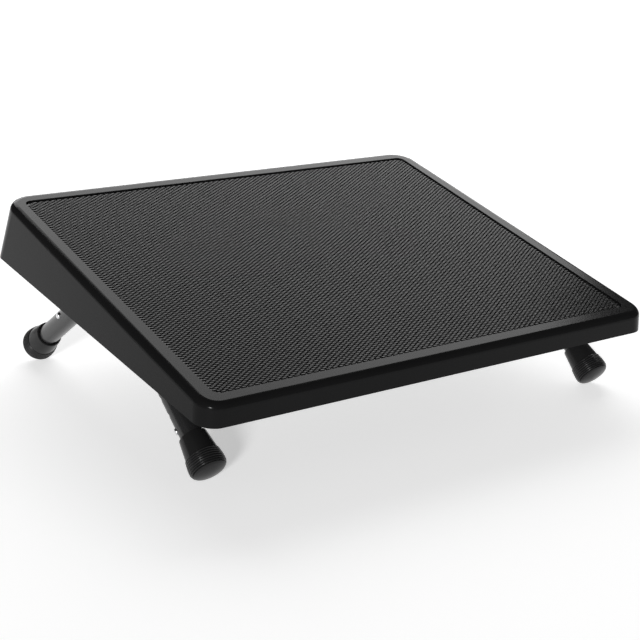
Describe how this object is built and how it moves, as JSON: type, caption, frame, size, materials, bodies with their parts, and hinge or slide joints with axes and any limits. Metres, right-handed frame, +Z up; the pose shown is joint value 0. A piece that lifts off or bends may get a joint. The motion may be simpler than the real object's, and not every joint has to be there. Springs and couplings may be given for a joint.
{
  "type": "tilting footrest",
  "caption": "Tilting under desk footrest: a wedge tray with a textured mat on telescopic snap button legs with rubber feet.",
  "frame": {"origin": "on the floor under the middle of the object's box", "axes": "+X to the user's right, +Y away from the user towards the high back edge, +Z up"},
  "size_m": [0.464, 0.372, 0.1487],
  "materials": {
    "tray_plastic": "fine spark texture",
    "mat_rubber": "raised diamond pattern",
    "hub_plastic": "plain moulded",
    "inner_tube_steel": "dark plating",
    "lower_tube_steel": "satin dark plating",
    "foot_rubber": "moulded",
    "button_steel": "bright zinc",
    "pin_steel": "plain",
    "screw_steel": "zinc"
  },
  "bodies": {
    "tray_body": {"tray": "tray_plastic", "foot_mat": "mat_rubber", "leg_hub_left": "hub_plastic", "leg_hub_right": "hub_plastic", "cross_pins": "pin_steel", "hub_screws": "screw_steel", "inner_tube_front_left": "inner_tube_steel", "inner_tube_front_right": "inner_tube_steel", "inner_tube_rear_left": "inner_tube_steel", "inner_tube_rear_right": "inner_tube_steel"},
    "leg_front_left": {"lower_tube_front_left": "lower_tube_steel", "rubber_foot_front_left": "foot_rubber"},
    "button_front_left": {"snap_button_front_left": "button_steel"},
    "leg_front_right": {"lower_tube_front_right": "lower_tube_steel", "rubber_foot_front_right": "foot_rubber"},
    "button_front_right": {"snap_button_front_right": "button_steel"},
    "leg_rear_left": {"lower_tube_rear_left": "lower_tube_steel", "rubber_foot_rear_left": "foot_rubber"},
    "button_rear_left": {"snap_button_rear_left": "button_steel"},
    "leg_rear_right": {"lower_tube_rear_right": "lower_tube_steel", "rubber_foot_rear_right": "foot_rubber"},
    "button_rear_right": {"snap_button_rear_right": "button_steel"}
  },
  "joints": [
    {"name": "front_left_leg_slide", "type": "slide", "parent": "tray_body", "child": "leg_front_left", "axis": [0, -0.8207, -0.5714], "range_m": [0, 0.0471], "deforming": ["snap_button_front_left"]},
    {"name": "front_right_leg_slide", "type": "slide", "parent": "tray_body", "child": "leg_front_right", "axis": [0, -0.8207, -0.5714], "range_m": [0, 0.0471], "deforming": ["snap_button_front_right"]},
    {"name": "rear_left_leg_slide", "type": "slide", "parent": "tray_body", "child": "leg_rear_left", "axis": [0, 0.8044, -0.5941], "range_m": [0, 0.0471], "deforming": ["snap_button_rear_left"]},
    {"name": "rear_right_leg_slide", "type": "slide", "parent": "tray_body", "child": "leg_rear_right", "axis": [0, 0.8044, -0.5941], "range_m": [0, 0.0471], "deforming": ["snap_button_rear_right"]},
    {"name": "front_left_button_press", "type": "slide", "parent": "tray_body", "child": "button_front_left", "axis": [0.866, -0.2857, 0.4103], "range_m": [0, 0.0027], "stiffness_N_per_m": 900, "springref_m": -0.002, "deforming": ["snap_button_front_left"]},
    {"name": "front_right_button_press", "type": "slide", "parent": "tray_body", "child": "button_front_right", "axis": [-0.866, -0.2857, 0.4103], "range_m": [0, 0.0027], "stiffness_N_per_m": 900, "springref_m": -0.002, "deforming": ["snap_button_front_right"]},
    {"name": "rear_left_button_press", "type": "slide", "parent": "tray_body", "child": "button_rear_left", "axis": [0.9659, -0.1538, -0.2082], "range_m": [0, 0.0027], "stiffness_N_per_m": 900, "springref_m": -0.002, "deforming": ["snap_button_rear_left"]},
    {"name": "rear_right_button_press", "type": "slide", "parent": "tray_body", "child": "button_rear_right", "axis": [-0.9659, -0.1538, -0.2082], "range_m": [0, 0.0027], "stiffness_N_per_m": 900, "springref_m": -0.002, "deforming": ["snap_button_rear_right"]}
  ]
}
